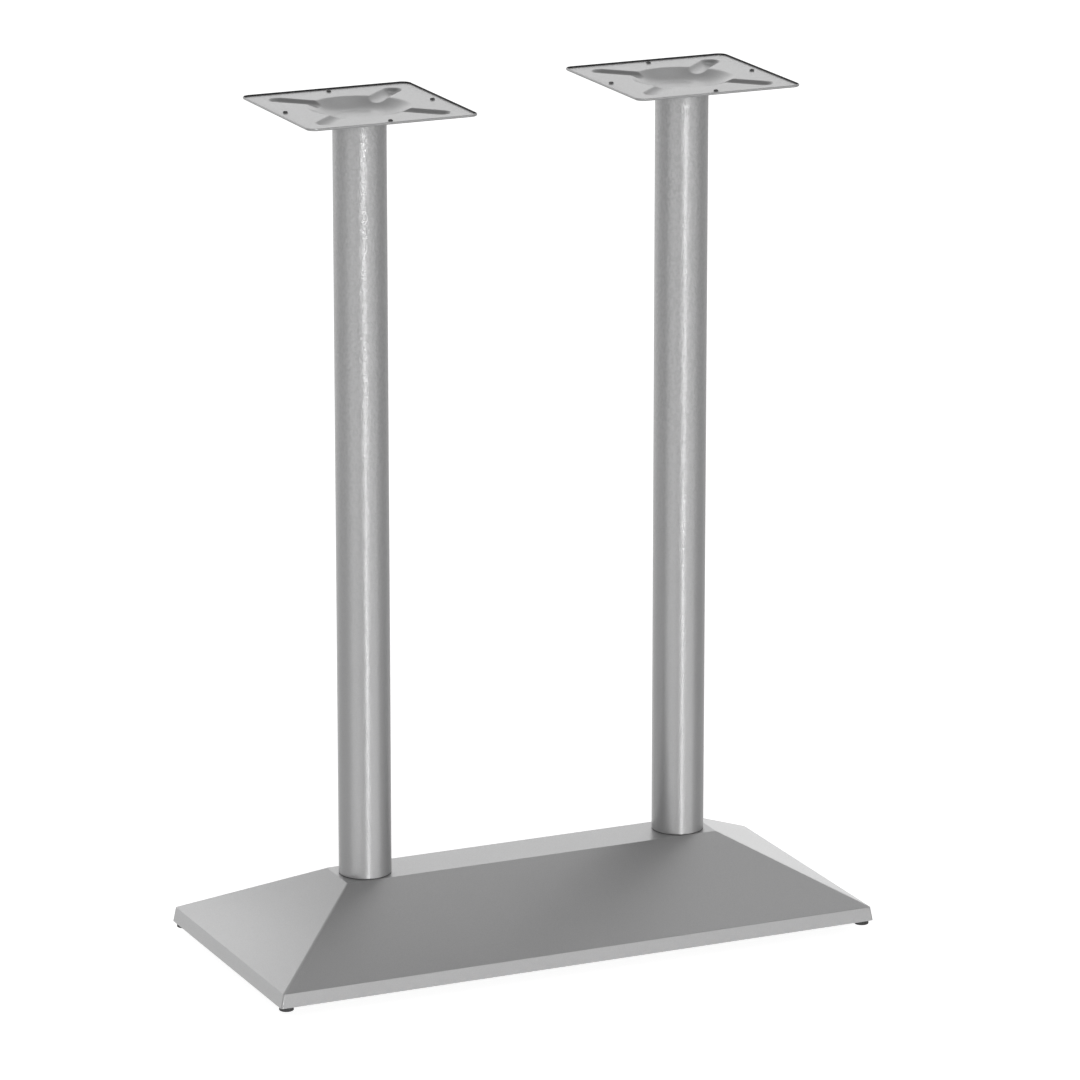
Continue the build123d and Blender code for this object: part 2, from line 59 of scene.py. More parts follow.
class Graph:
    """A material's node tree, with the Principled shader already in place."""

    def __init__(self, name):
        self.material = bpy.data.materials.new(name)
        self.material.use_nodes = True
        self.tree = self.material.node_tree
        self.shader = next(n for n in self.tree.nodes if n.type == "BSDF_PRINCIPLED")
        self.place = self.add("ShaderNodeTexCoord").outputs["Object"]

    def add(self, kind, **settings):
        node = self.tree.nodes.new(kind)
        for key, value in settings.items():
            setattr(node, key, value)
        return node

    def link(self, source, target):
        self.tree.links.new(source, target)

    def noise(self, size, detail=3.0, rough=0.55, stretch=(1, 1, 1)):
        """Noise whose grain is about size metres."""
        mapping = self.add("ShaderNodeMapping")
        mapping.inputs["Scale"].default_value = stretch
        self.link(self.place, mapping.inputs["Vector"])
        node = self.add("ShaderNodeTexNoise")
        node.inputs["Scale"].default_value = 1.0 / size
        node.inputs["Detail"].default_value = detail
        node.inputs["Roughness"].default_value = rough
        self.link(mapping.outputs[0], node.inputs["Vector"])
        return node.outputs["Fac"]

    def cells(self, size):
        """Distance to the nearest of points about size metres apart."""
        node = self.add("ShaderNodeTexVoronoi")
        node.inputs["Scale"].default_value = 1.0 / size
        self.link(self.place, node.inputs["Vector"])
        return node.outputs["Distance"]

    def spread(self, value, low, high, to_low=0.0, to_high=1.0):
        """Eases from to_low at low to to_high at high."""
        node = self.add("ShaderNodeMapRange", interpolation_type="SMOOTHSTEP")
        self.link(value, node.inputs["Value"])
        ends = {"From Min": low, "From Max": high, "To Min": to_low, "To Max": to_high}
        for socket, number in ends.items():
            node.inputs[socket].default_value = number
        return node.outputs["Result"]

    def sums(self, kind, first, second):
        """One Math node: each side is a number or a socket."""
        node = self.add("ShaderNodeMath", operation=kind)
        for socket, value in zip(node.inputs, (first, second)):
            if isinstance(value, (int, float)):
                socket.default_value = value
            else:
                self.link(value, socket)
        return node.outputs[0]

    def mix(self, factor, first, second):
        """One Mix node: each side is a number, a colour or a socket."""
        node = self.add("ShaderNodeMix", data_type="RGBA")
        for name, value in (("Factor", factor), ("A", first), ("B", second)):
            socket = node.inputs[name]
            if isinstance(value, (int, float)):
                socket.default_value = value
            elif isinstance(value, tuple):
                socket.default_value = (*value, 1.0)
            else:
                self.link(value, socket)
        return node.outputs["Result"]

    def edges(self, radius):
        """1 along convex and concave edges of about this radius, 0 on the flats."""
        bevel = self.add("ShaderNodeBevel", samples=4)
        bevel.inputs["Radius"].default_value = radius
        plain = self.add("ShaderNodeNewGeometry")
        dot = self.add("ShaderNodeVectorMath", operation="DOT_PRODUCT")
        self.link(bevel.outputs["Normal"], dot.inputs[0])
        self.link(plain.outputs["Normal"], dot.inputs[1])
        return self.spread(dot.outputs["Value"], FLAT_COSINE, EDGE_COSINE)

    def bump(self, height, depth, under=None):
        """A relief of this depth in metres, laid over another one."""
        node = self.add("ShaderNodeBump")
        node.inputs["Strength"].default_value = 1.0
        if isinstance(depth, (int, float)):
            node.inputs["Distance"].default_value = depth
        else:
            self.link(depth, node.inputs["Distance"])
        self.link(height, node.inputs["Height"])
        if under is not None:
            self.link(under, node.inputs["Normal"])
        return node.outputs["Normal"]

    def finish(self, colour, rough, normal, metallic=0.0, coat=0.0, coat_rough=0.1):
        self.link(colour, self.shader.inputs["Base Color"])
        self.link(rough, self.shader.inputs["Roughness"])
        self.link(normal, self.shader.inputs["Normal"])
        self.shader.inputs["Metallic"].default_value = metallic
        self.shader.inputs["Coat Weight"].default_value = coat
        self.shader.inputs["Coat Roughness"].default_value = coat_rough
        return self.material


# --- materials ----------------------------------------------------------------
def grey(level):
    """A neutral tone with a trace of blue."""
    return (level, level, level * 1.006)


PAINT = 0.43                # grey level of the powder coat
METALLIC = 0.72
COAT, COAT_ROUGH = 0.25, 0.14
PAINTED_SHADE_TONE = 0.035          # painted shade: the dark tone of the inner corner under the rim and of the collars' holes
FADE_LOW, FADE_HIGH = 0.15, 0.80   # heights between which the columns' grain grows
# height from which lighter speckle is painted in as glints of the highlight
GLINT_LOW = 0.25
WELD_LOW, WELD_HIGH = 1.070, 1.088  # the paint is dull over the heat of the weld


def paint(name, level, grain, grain_depth, rough, edge_radius, column=False, painted_shade_corner=False):
    """Silver-grey powder coat: metal flake, orange peel, slightly thinner on the edges."""
    g = Graph(name)
    # slow clouds, then metal flake, then the edges where the coat is thin
    cloud = g.noise(0.09, 2.0)
    flake = g.cells(0.0007)
    tone = g.mix(g.spread(cloud, 0.3, 0.7), grey(level * 0.985), grey(level * 1.015))
    tone = g.mix(g.spread(flake, 0.08, 0.7, 0.20, 0.0), tone, grey(min(level * 1.7, 0.95)))
    patchy = g.spread(g.noise(0.012, 4.0), 0.42, 0.66, 0.10, 0.65)
    tone = g.mix(g.sums("MULTIPLY", g.edges(edge_radius), patchy), tone, grey(level * 1.35))
    # orange peel, with finer grit on it
    peel = g.noise(grain, 2.0, 0.5)
    grit = g.noise(grain * 0.28, 2.0, 0.6)
    rub = g.spread(peel, 0.32, 0.68, rough - 0.03, rough + 0.04)
    rub = g.sums("ADD", rub, g.spread(cloud, 0.3, 0.7, -0.008, 0.008))
    if painted_shade_corner:
        # painted shade: a dark line in the inner corner under the rim and in the collars' holes, where
        # shade falls
        shade_mask = g.add("ShaderNodeAttribute", attribute_name="painted_shade_corner").outputs["Fac"]
        tone = g.mix(shade_mask, tone, grey(PAINTED_SHADE_TONE))
        rub = g.sums("ADD", rub, g.sums("MULTIPLY", shade_mask, 0.35))
    depth, grit_depth = grain_depth, grain_depth * 0.25
    if column:
        # the coat is smooth near the foot and coarser towards the top, where lighter speckle is
        # painted in as glints of the highlight
        axis = g.add("ShaderNodeSeparateXYZ")
        g.link(g.place, axis.inputs[0])
        height = axis.outputs["Z"]
        depth = g.spread(height, FADE_LOW, FADE_HIGH, grain_depth * 0.16, grain_depth)
        grit_depth = g.sums("MULTIPLY", depth, 0.25)
        heat = g.sums("ADD", height, g.spread(g.noise(0.004, 2.0), 0.3, 0.7, -0.004, 0.004))
        rub = g.sums("ADD", rub, g.spread(heat, WELD_LOW, WELD_HIGH, 0.0, 0.22))
        # painted glints: lighter speckle in the colour, growing towards the top
        fine = g.spread(g.noise(0.0036, 1.0, 0.4, (1, 1, 0.7)), 0.40, 0.60)
        painted_glints = g.sums("MULTIPLY", g.spread(height, GLINT_LOW, FADE_HIGH), fine)
        tone = g.mix(painted_glints, tone, grey(level * 1.12))
    normal = g.bump(grit, grit_depth, g.bump(peel, depth))
    return g.finish(tone, rub, normal, METALLIC, COAT, COAT_ROUGH)


def cast_iron():
    """Black primed sand casting, worn on the edges, with a breath of rust."""
    g = Graph("cast_iron")
    sand = g.noise(0.0016, 4.0, 0.6)
    lumps = g.noise(0.014, 3.0)
    pits = g.spread(g.cells(0.006), 0.05, 0.3)
    tone = g.mix(g.spread(lumps, 0.35, 0.7), grey(0.028), grey(0.052))
    worn = g.sums("MULTIPLY", g.edges(0.0025), g.spread(sand, 0.4, 0.6, 0.1, 0.8))
    tone = g.mix(worn, tone, (0.10, 0.092, 0.086))
    rust = g.spread(g.noise(0.05, 5.0), 0.62, 0.78, 0.0, 0.45)
    tone = g.mix(rust, tone, (0.075, 0.048, 0.034))
    rough = g.spread(sand, 0.3, 0.7, 0.62, 0.82)
    normal = g.bump(sand, 0.00035, g.bump(pits, 0.00025, g.bump(lumps, 0.0010)))
    return g.finish(tone, rough, normal, 0.15)


def zinc():
    """Bright zinc plate with spangle, drawn marks and yellowed patches."""
    g = Graph("zinc_steel")
    spangle = g.cells(0.0022)
    drawn = g.noise(0.0011, 3.0, 0.6, (1, 1, 0.25))
    tone = g.mix(g.spread(spangle, 0.1, 0.7), (0.50, 0.51, 0.53), (0.66, 0.67, 0.68))
    tone = g.mix(g.spread(g.noise(0.006, 3.0), 0.5, 0.72, 0.0, 0.5), tone, (0.58, 0.53, 0.42))
    worn = g.sums("MULTIPLY", g.edges(0.0005), g.spread(drawn, 0.35, 0.6, 0.2, 0.9))
    tone = g.mix(worn, tone, (0.80, 0.80, 0.80))
    rough = g.spread(drawn, 0.3, 0.7, 0.24, 0.40)
    return g.finish(tone, rough, g.bump(drawn, 0.00004), 1.0)


def plastic():
    """Matt moulded plastic with a little dust."""
    g = Graph("foot_plastic")
    grain = g.noise(0.0005, 3.0, 0.6)
    dust = g.spread(g.noise(0.004, 4.0), 0.45, 0.75, 0.0, 0.35)
    tone = g.mix(g.spread(grain, 0.3, 0.7), grey(0.042), grey(0.062))
    tone = g.mix(dust, tone, grey(0.12))
    tone = g.mix(g.sums("MULTIPLY", g.edges(0.0005), 0.5), tone, grey(0.13))
    return g.finish(tone, g.spread(grain, 0.3, 0.7, 0.46, 0.62), g.bump(grain, 0.00006), 0.0)


def rubber():
    """Matt black gasket."""
    g = Graph("gasket_rubber")
    grain = g.noise(0.0007, 3.0)
    tone = g.mix(g.spread(g.noise(0.004, 3.0), 0.35, 0.7), grey(0.085), grey(0.125))
    return g.finish(tone, g.spread(grain, 0.3, 0.7, 0.72, 0.88), g.bump(grain, 0.00005), 0.0)


LOOKS = {
    "cover_paint": paint(
        "cover_paint", PAINT * 1.06, grain=0.0020, grain_depth=0.00003, rough=0.40,
        edge_radius=0.0012,
    ),
    "column_paint": paint(
        "column_paint", PAINT, grain=0.0042, grain_depth=0.00052, rough=0.33,
        edge_radius=0.0012, column=True,
    ),
    # the plates' grey is set darker than the columns': painted shade over the whole plate
    "plate_paint": paint(
        "plate_paint", PAINT * 0.90, grain=0.0018, grain_depth=0.00003, rough=0.40,
        edge_radius=0.0006, painted_shade_corner=True,
    ),
    "cast_iron": cast_iron(),
    "zinc_steel": zinc(),
    "foot_plastic": plastic(),
    "gasket_rubber": rubber(),
}

slot_of = {s["node"]: s["material_slot"] for s in frame["record"]["subparts"]}
for name, node in nodes.items():
    for index in range(len(node.material_slots)):
        node.material_slots[index].material = LOOKS[slot_of[name]]


# --- mesh helpers ---------------------------------------------------------------
def make_piece(name, verts, faces, slot, body, replaced, smooth_angle=40.0):
    """A mesh piece with its normals outward, smooth up to smooth_angle degrees."""
    mesh = bpy.data.meshes.new(name)
    mesh.from_pydata([tuple(v) for v in verts], [], faces)
    work = bmesh.new()
    work.from_mesh(mesh)
    bmesh.ops.recalc_face_normals(work, faces=work.faces[:])
    work.to_mesh(mesh)
    work.free()
    mesh.materials.append(LOOKS[slot])
    mesh.shade_smooth()
    piece = bpy.data.objects.new(name, mesh)
    bpy.context.scene.collection.objects.link(piece)
    mesh.set_sharp_from_angle(angle=math.radians(smooth_angle))
    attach(piece, body)
    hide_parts(replaced)
    return piece


def ring_faces(rings):
    """Quads between closed rings of vertex numbers, all of one length."""
    faces = []
    for here, there in zip(rings, rings[1:]):
        for i in range(len(here)):
            j = (i + 1) % len(here)
            faces.append((int(here[i]), int(here[j]), int(there[j]), int(there[i])))
    return faces


def lathe(verts, around, caps):
    """Faces of a turned shape whose rings are already in verts, closed at both ends by caps."""
    rings = [range(first, first + around) for first in range(0, len(verts), around)]
    faces = ring_faces(rings)
    for ring, cap in zip((rings[0], rings[-1]), caps):
        verts.append(cap)
        faces += [(ring[k], ring[(k + 1) % around], len(verts) - 1) for k in range(around)]
    return faces


# --- stamped top plates ---------------------------------------------------------
# all in millimetres, from the middle of the plate
CORNER_CENTRE = 102.0      # centre of the 12 mm corner arcs
FIELD = 112.0              # the height field reaches this far, the rolled rim does the rest
SHEET = 1.5                # thickness
RIM_DEPTH = 1.8            # the rim's top above the flat
DISH = (40.0, 65.0, 11.0)  # floor radius, top radius, depth below the flat
DISH_BLEND = (24.0, 5.0)   # rounding at floor and top
TROUGH_HALF = 12.4
TROUGH_DEPTH = 5.6
TROUGH_WALL = 0.6          # 0 is a parabola across, more gives steeper sides
TROUGH_ENDS = (52.0, 77.0 * math.sqrt(2))
SOFTEN = 0.9               # creases are rounded over about this reach
SOFTEN_TURNS = 8
COLLAR_AT = 99.0           # collars are this far out, on the plate's two axes
PATCH = 5.0                # half of the square left open for a collar
PATCH_CELLS = 4
FIELD_CELLS, EDGE_CELLS = 72, 7
SLOPE_STEP = 0.05


def ramp(x, blend):
    """0 below zero and x above it, rounded over the blend length."""
    curve = (x + blend / 2) ** 2 / (2 * blend)
    return np.where(x <= -blend / 2, 0.0, np.where(x >= blend / 2, x, curve))


def bowl(distance, shape, blends):
    """Depth below the flat at this distance from the middle of a tapered recess."""
    floor, top, depth = shape
    rise = ramp(distance - floor, blends[0]) - ramp(distance - top, blends[1])
    return depth - depth / (top - floor) * rise


def raw_depth(x, y):
    """The deeper of the dish and the four troughs, which run along the diagonals."""
    dish = bowl(np.hypot(x, y), DISH, DISH_BLEND)
    along = (np.abs(x) + np.abs(y)) / math.sqrt(2)
    across = (np.abs(x) - np.abs(y)) / math.sqrt(2)
    past = np.maximum(np.maximum(TROUGH_ENDS[0] - along, along - TROUGH_ENDS[1]), 0.0)
    share = np.minimum(np.hypot(past, across) / TROUGH_HALF, 1.0) ** 2
    return np.maximum(dish, TROUGH_DEPTH * (1 - share) * (1 + TROUGH_WALL * share))


def depth_at(x, y):
    """Depth below the flat, with the creases rounded by a small average."""
    total = raw_depth(x, y) * 2
    for turn in range(SOFTEN_TURNS):
        angle = turn * 2 * math.pi / SOFTEN_TURNS
        total = total + raw_depth(x + SOFTEN * math.cos(angle), y + SOFTEN * math.sin(angle))
    return total / (SOFTEN_TURNS + 2)


def rounded(u, v):
    """Bends the outer rings of a square grid round the plate's 12 mm corners."""
    big, small = max(abs(u), abs(v)), min(abs(u), abs(v))
    if big <= CORNER_CENTRE or small <= CORNER_CENTRE:
        return u, v
    reach = big - CORNER_CENTRE
    angle = (small - CORNER_CENTRE) / reach * math.pi / 4
    far = CORNER_CENTRE + reach * math.cos(angle)
    near = CORNER_CENTRE + reach * math.sin(angle)
    x, y = (far, near) if abs(u) >= abs(v) else (near, far)
    return math.copysign(x, u), math.copysign(y, v)


def plate_lines():
    """Grid lines, closer together over the collars and near the rim."""
    inner, outer = COLLAR_AT - PATCH, COLLAR_AT + PATCH
    half = list(np.linspace(0, PATCH, PATCH_CELLS + 1))
    half += list(np.linspace(PATCH, inner, FIELD_CELLS))[1:]
    half += list(np.linspace(inner, outer, 2 * PATCH_CELLS + 1))[1:]
    half += list(np.linspace(outer, FIELD, EDGE_CELLS))[1:]
    return np.array([-v for v in half[:0:-1]] + half)


RIM_PATH = (
    # distance from the middle to the rim's section, height above the flat
    (112.22, 0.03), (112.40, 0.14), (112.49, 0.34), (112.5, 0.8), (112.5, 1.38), (112.56, 1.60),
    (112.72, 1.75), (112.95, 1.8), (113.35, 1.8), (113.68, 1.74), (113.90, 1.58), (114.0, 1.34),
    (114.0, 0.42), (113.94, -0.08), (113.72, -0.62), (113.30, -1.08), (112.75, -1.37),
    (112.3, -1.48),
)
COLLAR_PATH = (
    # distance from the hole's axis, height above the flat: up the collar, down the hole, out below
    (4.2, 0.0), (3.5, 0.05), (3.12, 0.25), (2.95, 0.62), (2.9, 1.35), (2.8, 1.66), (2.6, 1.8),
    (2.45, 1.8), (2.28, 1.7), (2.2, 1.45), (2.2, -0.55), (2.27, -1.0), (2.55, -1.32),
    (3.0, -1.46), (4.0, -1.5),
)


def shade_on_rim(reach, height):
    """The rim's inner wall, which is painted dark as shade."""
    return 112.3 < reach < 112.9 and height > 0.1


def shade_on_collar(radius, height):
    """The collar's walls and hole, but not its lip: these are painted dark as shade."""
    return radius < 3.0 and not (2.4 < radius < 2.85 and height > 1.5)


def plate_field(lines):
    """Top and underside of the sheet as two grids of points, with holes for the collars."""
    grid_u, grid_v = np.meshgrid(lines, lines, indexing="ij")
    x, y = np.array([rounded(u, v) for u, v in zip(grid_u.ravel(), grid_v.ravel())]).T
    step = SLOPE_STEP
    slope_x = -(depth_at(x + step, y) - depth_at(x - step, y)) / (2 * step)
    slope_y = -(depth_at(x, y + step) - depth_at(x, y - step)) / (2 * step)
    length = np.sqrt(slope_x**2 + slope_y**2 + 1)
    top = np.stack([x, y, -depth_at(x, y)], 1)
    return top, top - SHEET * np.stack([-slope_x / length, -slope_y / length, 1 / length], 1)


def square_loop(i0, i1, j0, j1):
    """Grid places round a square, counter-clockwise."""
    loop = [(i, j0) for i in range(i0, i1)] + [(i1, j) for j in range(j0, j1)]
    return loop + [(i, j1) for i in range(i1, i0, -1)] + [(i0, j) for j in range(j1, j0, -1)]


def top_plate(side):
    """Stamped square plate: sheet, screw collars and upturned rim in one closed skin."""
    low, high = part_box("top_plate_" + side)
    lines = plate_lines()
    count = len(lines)
    top, under = plate_field(lines)
    under_at = count * count
    # one number a point: 1 where dark shade is painted on
    verts, faces, shade_mask = [top, under], [], [np.zeros(2 * under_at)]
    total = 2 * under_at

    def skin(edge, rings, shade_rule, path):
        """Rings of points that join the top to the underside along one edge."""
        nonlocal total
        chain = [np.array(edge)]
        for points, place in zip(rings, path):
            verts.append(points)
            # 1 where this ring is painted dark as shade
            shade_mask.append(np.full(len(edge), float(shade_rule(*place))))
            chain.append(np.arange(total, total + len(edge)))
            total += len(edge)
        faces.extend(ring_faces(chain + [np.array(edge) + under_at]))

    # numbers of the grid lines, by their distance from the middle
    at = {round(float(v), 4): i for i, v in enumerate(lines)}
    holes, patches = set(), []
    for cx, cy in ((COLLAR_AT, 0.0), (-COLLAR_AT, 0.0), (0.0, COLLAR_AT), (0.0, -COLLAR_AT)):
        i0, i1 = at[round(cx - PATCH, 4)], at[round(cx + PATCH, 4)]
        j0, j1 = at[round(cy - PATCH, 4)], at[round(cy + PATCH, 4)]
        holes.update((i, j) for i in range(i0, i1) for j in range(j0, j1))
        patches.append((cx, cy, [i * count + j for i, j in square_loop(i0, i1, j0, j1)]))
    for i in range(count - 1):
        for j in range(count - 1):
            if (i, j) not in holes:
                a, d = i * count + j, i * count + j + 1
                b, c = a + count, d + count
                faces.append((a, b, c, d))
                faces.append((under_at + d, under_at + c, under_at + b, under_at + a))

    for cx, cy, ids in patches:
        angles = np.arctan2(top[ids, 1] - cy, top[ids, 0] - cx)
        rings = [
            np.stack([cx + r * np.cos(angles), cy + r * np.sin(angles), np.full(len(ids), h)], 1)
            for r, h in COLLAR_PATH
        ]
        skin(ids, rings, shade_on_collar, COLLAR_PATH)

    def on_rim(w, reach):
        """A grid line's place, with the field's edge moved out to this reach."""
        over = max(abs(w) - CORNER_CENTRE, 0.0) / (FIELD - CORNER_CENTRE)
        return math.copysign(min(abs(w), CORNER_CENTRE) + over * (reach - CORNER_CENTRE), w)

    edge = square_loop(0, count - 1, 0, count - 1)
    rings = [
        np.array([(*rounded(on_rim(lines[i], r), on_rim(lines[j], r)), h) for i, j in edge])
        for r, h in RIM_PATH
    ]
    skin([i * count + j for i, j in edge], rings, shade_on_rim, RIM_PATH)

    middle = np.array([(low.x + high.x) / 2, (low.y + high.y) / 2, high.z - RIM_DEPTH * MM])
    points = np.concatenate(verts) * MM + middle
    name = "stamped_plate_" + side
    piece = make_piece(name, points, faces, "plate_paint", "base", "top_plate_" + side)
    # marks the points painted dark as shade, for the plate's paint
    layer = piece.data.attributes.new("painted_shade_corner", "FLOAT", "POINT")
    layer.data.foreach_set("value", np.concatenate(shade_mask).astype(np.float32))


for side in SIDES:
    top_plate(side)


# --- weld beads -----------------------------------------------------------------
WELD_AROUND, WELD_STEPS = 720, 10
WELD_SEED = 11
WELD_RIPPLES = 45          # half of the number round one tube
WELD_WAVES = 24            # slow waves in the size of the bead
WELD_LEG = 0.97            # longest leg, over the CAD bead's height
WELD_EVEN, WELD_RIPPLE, WELD_DRIFT = 0.86, 0.10, 0.10   # what is even, rippled and slow in the leg
WELD_BODY, WELD_TOES = 0.60, 0.40   # of the leg: the face's middle, and what its ends add


def weld_beads():
    """A rippled fillet bead round the top of each tube, under the plate."""
    verts, faces = [], []
    low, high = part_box("plate_welds")
    leg = (high.z - low.z) * WELD_LEG
    random = np.random.default_rng(WELD_SEED)
    row = WELD_STEPS + 2
    for side in SIDES:
        tube_low, tube_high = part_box("column_tube_" + side)
        cx, cy = (tube_low.x + tube_high.x) / 2, (tube_low.y + tube_high.y) / 2
        radius = (tube_high.x - tube_low.x) / 2
        waves = random.normal(0, 1, WELD_WAVES)
        first = len(verts)
        for k in range(WELD_AROUND):
            angle = 2 * math.pi * k / WELD_AROUND
            uneven = 0.5 * math.sin(angle * 7)
            ripple = abs(math.sin(angle * WELD_RIPPLES + uneven)) ** 0.6
            drift = sum(w * math.cos(angle * (n + 1) + n) for n, w in enumerate(waves))
            share = WELD_EVEN + WELD_RIPPLE * ripple + WELD_DRIFT * drift / WELD_WAVES
            reach = leg * min(share, 1.0)
            section = []
            for s in range(WELD_STEPS + 1):
                turn = math.pi / 2 * s / WELD_STEPS
                bulge = WELD_BODY + WELD_RIPPLE * ripple + WELD_TOES * abs(math.cos(2 * turn))
                section.append((reach * math.sin(turn) * bulge, reach * math.cos(turn) * bulge))
            section.append((0.0, 0.0))
            for out, down in section:
                away = radius + out
                verts.append((cx + away * math.cos(angle), cy + away * math.sin(angle), high.z - down))
        for k in range(WELD_AROUND):
            here, there = first + k * row, first + (k + 1) % WELD_AROUND * row
            for s in range(row):
                t = (s + 1) % row
                faces.append((here + s, there + s, there + t, here + t))
    make_piece(
        "weld_beads", verts, faces, "column_paint", "base", "plate_welds", smooth_angle=60.0
    )


weld_beads()


# --- levelling feet -------------------------------------------------------------
# all in millimetres
THREAD_PITCH = 1.0
THREAD_DEPTH = 0.55
THREAD_CLEAR, THREAD_STOP = 0.35, 0.9   # plain stud over the collar, and at the top
STUD_RADIUS, NECK_RADIUS, BUTTON_RADIUS = 3.0, 2.4, 3.4
COLLAR_GAP, COLLAR_TALL = 0.3, 3.2
HEX_FACE, HEX_CHAMFER, HEX_CORNER = 0.95, 1.04, 1.154   # reach over half the width across flats
ROWS_A_TURN = 8
STUD_AROUND, PAD_AROUND = 96, 144
BORE, THROAT = 3.45, 2.45  # radii of the pad's snap-in hole, inside and at its mouth
FLUTES, FLUTE_DEPTH = 24, 0.28


def ring_points(middle, around, radius_at, height):
    """Points of one ring: radius_at gives the radius at each angle."""
    points = []
    for k in range(around):
        angle = 2 * math.pi * k / around
        r = radius_at(angle) * MM
        points.append((middle[0] + r * math.cos(angle), middle[1] + r * math.sin(angle), height * MM))
    return points


def even(radius):
    return lambda angle: radius


def foot_stud(corner):
    """M6 stud with a hexagon collar and a round button that the pad is snapped over."""
    node = "foot_stud_" + corner
    low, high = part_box(node)
    pad_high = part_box("foot_pad_" + corner)[1]
    middle = ((low.x + high.x) / 2, (low.y + high.y) / 2)
    flats = (high.y - low.y) / 2 / MM
    base, top = low.z / MM, high.z / MM
    collar_low = pad_high.z / MM + COLLAR_GAP
    collar_high = collar_low + COLLAR_TALL
    root, neck, button = STUD_RADIUS - THREAD_DEPTH, NECK_RADIUS, BUTTON_RADIUS

    def hexagon(share):
        """A hexagon whose corners are cut at this share of the half width across flats."""
        def at(angle):
            side = (angle - math.pi / 2 + math.pi / 6) % (math.pi / 3) - math.pi / 6
            return min(flats / math.cos(side), flats * share)
        return at

    start, end = collar_high + THREAD_CLEAR, top - THREAD_STOP
    profile = [
        (even(button * 0.45), base), (even(button - 0.5), base), (even(button - 0.12), base + 0.18),
        (even(button), base + 0.6), (even(button), base + 1.4), (even(button - 0.2), base + 1.75),
        (even(neck + 0.2), base + 1.8), (even(neck), base + 2.0), (even(neck), collar_low),
        (hexagon(HEX_FACE), collar_low), (hexagon(HEX_CHAMFER), collar_low + 0.12),
        (hexagon(HEX_CORNER), collar_low + 0.6), (hexagon(HEX_CORNER), collar_high - 0.6),
        (hexagon(HEX_CHAMFER), collar_high - 0.12), (hexagon(HEX_FACE), collar_high),
        (even(STUD_RADIUS + 0.05), collar_high), (even(root), start),
    ]
    rows = int((end - start) / THREAD_PITCH * ROWS_A_TURN)
    for row in range(1, rows + 1):
        height = start + (end - start) * row / rows
        ease = min(1.0, row / ROWS_A_TURN, (rows - row) / ROWS_A_TURN)

        def thread(angle, height=height, ease=ease):
            share = (height / THREAD_PITCH - angle / (2 * math.pi)) % 1.0
            # flat root, straight flanks, flat crest
            crest = min(max(1.45 - abs(share - 0.5) * 4.2, 0.0), 1.0)
            return root + THREAD_DEPTH * crest * ease

        profile.append((thread, height))
    profile += [(even(root - 0.1), end + 0.3), (even(STUD_RADIUS - 1.1), top)]
    verts = []
    for radius_at, height in profile:
        verts += ring_points(middle, STUD_AROUND, radius_at, height)
    faces = lathe(verts, STUD_AROUND, ((*middle, base * MM), (*middle, top * MM)))
    make_piece(
        "threaded_stud_" + corner, verts, faces, "zinc_steel", "stud_" + corner, node,
        smooth_angle=35.0,
    )


def foot_pad(corner):
    """Moulded pad: rounded sole, a waist groove, fine grip flutes and a snap-in bore."""
    node = "foot_pad_" + corner
    low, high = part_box(node)
    middle = ((low.x + high.x) / 2, (low.y + high.y) / 2)
    outer = (high.x - low.x) / 2 / MM
    tall = (high.z - low.z) / MM
    base = low.z / MM
    sole, seat = 0.35, 1.35
    profile = (
        # radius, height, share of the flutes' depth
        (outer - 2.6, sole, 0), (outer - 2.2, 0.0, 0), (outer - 1.15, 0.0, 0),
        (outer - 0.62, 0.12, 0), (outer - 0.22, 0.42, 0), (outer - 0.04, 0.85, 0),
        (outer, 1.25, 0), (outer - 0.02, 1.7, 0.2), (outer - 0.30, 1.95, 0.5),
        (outer - 0.36, 2.15, 0.8), (outer - 0.30, 2.4, 1), (outer - 0.06, 2.62, 1),
        (outer - 0.06, 3.6, 1), (outer - 0.10, tall - 0.75, 1), (outer - 0.35, tall - 0.3, 0.6),
        (outer - 0.85, tall - 0.05, 0), (outer - 1.4, tall, 0), (outer - 2.6, tall, 0),
        (outer - 3.0, tall - 0.3, 0), (THROAT + 1.7, tall - 0.3, 0), (THROAT + 1.3, tall, 0),
        (THROAT + 0.25, tall, 0), (THROAT, tall - 0.25, 0), (THROAT, 3.35, 0), (BORE, 3.3, 0),
        (BORE, seat, 0),
    )
    verts = []
    for radius, height, share in profile:
        def fluted(angle, radius=radius, share=share):
            return radius - FLUTE_DEPTH * share * (0.5 - 0.5 * math.cos(angle * FLUTES)) ** 2

        verts += ring_points(middle, PAD_AROUND, fluted, base + height)
    caps = ((*middle, (base + sole) * MM), (*middle, (base + seat) * MM))
    faces = lathe(verts, PAD_AROUND, caps)
    make_piece(
        "moulded_pad_" + corner, verts, faces, "foot_plastic", "pad_" + corner, node,
        smooth_angle=50.0,
    )


for corner in CORNERS:
    foot_stud(corner)
    foot_pad(corner)


# --- floor, light, camera -------------------------------------------------------
FLOOR_GLOW = 0.93
FLOOR_TONE = 0.35
FLOOR_DROP = 0.0101        # just below the feet when all are screwed out
FLOOR_SIZE = 40.0


